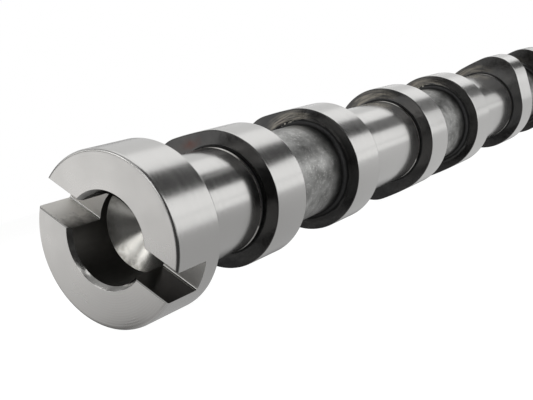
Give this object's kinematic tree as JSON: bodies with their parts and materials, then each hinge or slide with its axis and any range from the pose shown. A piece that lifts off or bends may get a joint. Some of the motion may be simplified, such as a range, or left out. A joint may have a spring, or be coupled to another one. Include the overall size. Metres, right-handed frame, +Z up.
{
  "type": "camshaft",
  "caption": "Cast engine camshaft with ground cam lobes in pairs, bearing journals between them and a drive collar with an offset slot across a blind bore.",
  "frame": {"origin": "centre of the drive collar's front face, on the shaft axis", "axes": "+X along the shaft axis from the drive collar to the timing end, +Z up with the shaft lying as it comes to rest on a table, +Y across the shaft"},
  "size_m": [0.3601, 0.034, 0.034],
  "materials": {
    "camshaft": "ground and turned bearing surfaces and cams, as-cast sides and middle stretches, lightly oiled"
  },
  "bodies": {
    "root": {"camshaft": "camshaft"}
  },
  "joints": []
}
